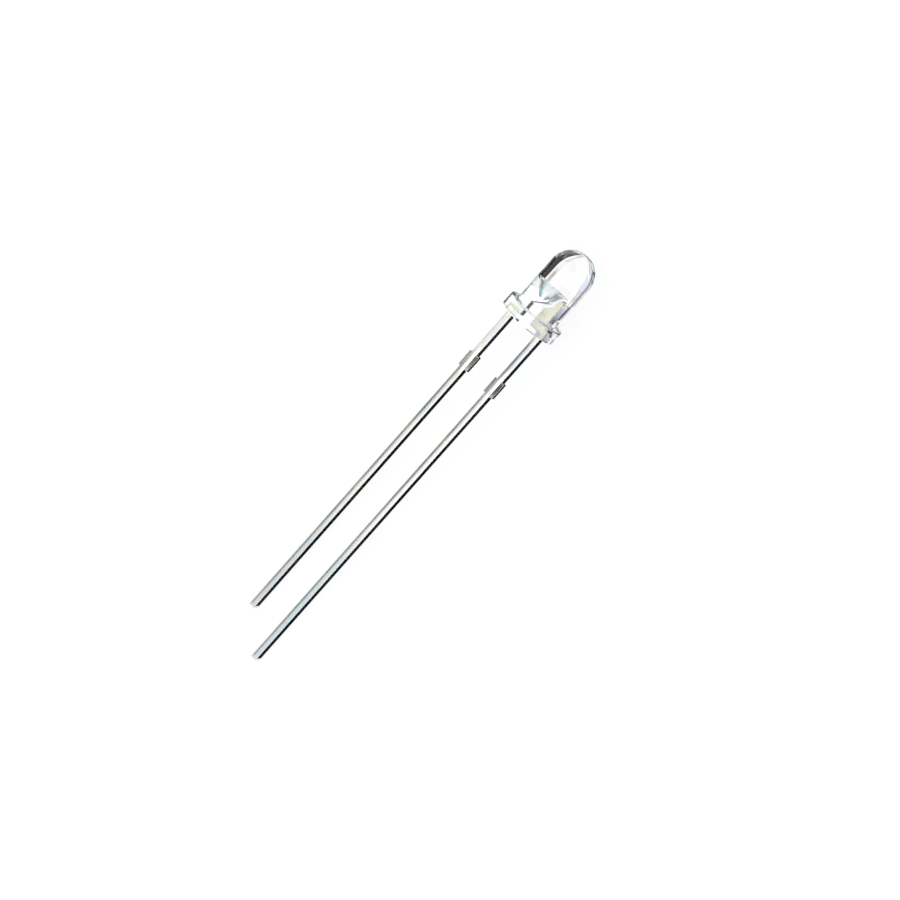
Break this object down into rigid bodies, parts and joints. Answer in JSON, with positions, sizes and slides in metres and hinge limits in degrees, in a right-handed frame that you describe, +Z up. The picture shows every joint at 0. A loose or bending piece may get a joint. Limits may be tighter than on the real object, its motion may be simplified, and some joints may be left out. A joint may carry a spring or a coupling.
{
  "type": "through hole led",
  "caption": "Round clear lens with a domed tip and a flanged foot, with two long square leads, lying on its side.",
  "frame": {"origin": "on the ground plane, under the middle of the part as it lies", "axes": "+X along the part towards the dome, +Z up from the surface it lies on; the anode lead is on the -Y side"},
  "size_m": [0.0334, 0.0038, 0.004],
  "materials": {
    "clear_epoxy": "water-clear, polished",
    "tinned_lead": "bright tin plate over steel",
    "chip": "sawn semiconductor",
    "silver_adhesive": "silver-filled, matt",
    "gold_wire": "bright gold"
  },
  "bodies": {
    "root": {"lens_case": "clear_epoxy", "cathode_lead": "tinned_lead", "anode_lead": "tinned_lead", "led_die": "chip", "die_attach": "silver_adhesive", "bond_wire": "gold_wire"}
  },
  "joints": []
}
